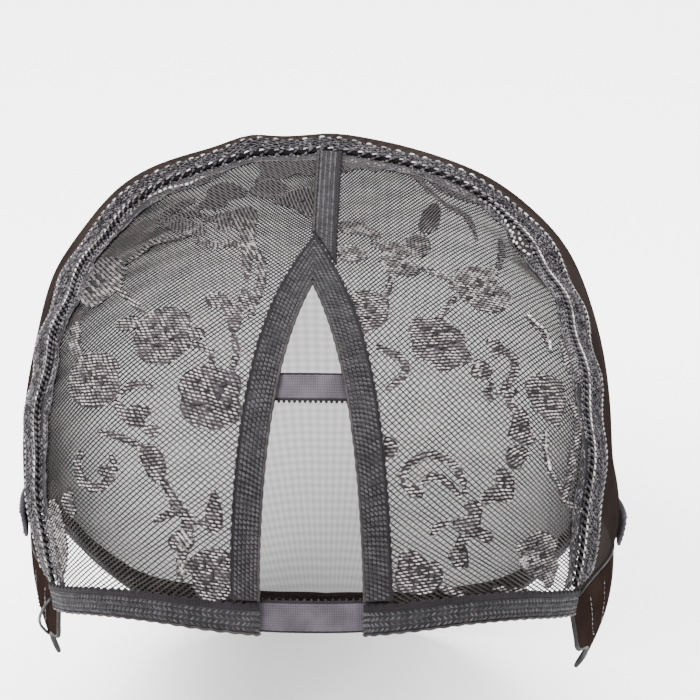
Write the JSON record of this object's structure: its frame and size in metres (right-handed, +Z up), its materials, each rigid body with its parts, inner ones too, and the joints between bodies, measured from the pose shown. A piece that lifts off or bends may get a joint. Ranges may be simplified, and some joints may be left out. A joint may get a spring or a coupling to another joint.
{
  "type": "wig cap",
  "caption": "Stretch wig cap with lace front panels, a bound parting opening crossed by elastic straps, a wide taped seam and a plain stretch back.",
  "frame": {"origin": "inside of the crown on the middle line, straight above the centre of the head, where the head carries the cap", "axes": "+Z up the head, the face looks along -Y, the wearer's left is +X"},
  "size_m": [0.159, 0.1933, 0.1702],
  "materials": {
    "lace": "net with knitted flowers, slightly shiny thread",
    "stretch": "sheer stretch mesh, smooth",
    "tape": "knit tape with bright chain stitches",
    "binding": "matt charcoal knit",
    "elastic": "ribbed elastic with a picot edge",
    "tab": "smooth folded fabric"
  },
  "bodies": {
    "root": {"lace_left": "lace", "lace_right": "lace", "stretch_panel": "stretch", "seam_tape": "tape", "centre_tape": "binding", "opening_binding": "binding", "hem_left": "binding", "hem_right": "binding", "strap_upper": "elastic", "strap_lower": "elastic", "ear_tab_left": "tab", "ear_tab_right": "tab", "nape_band": "elastic"}
  },
  "joints": []
}
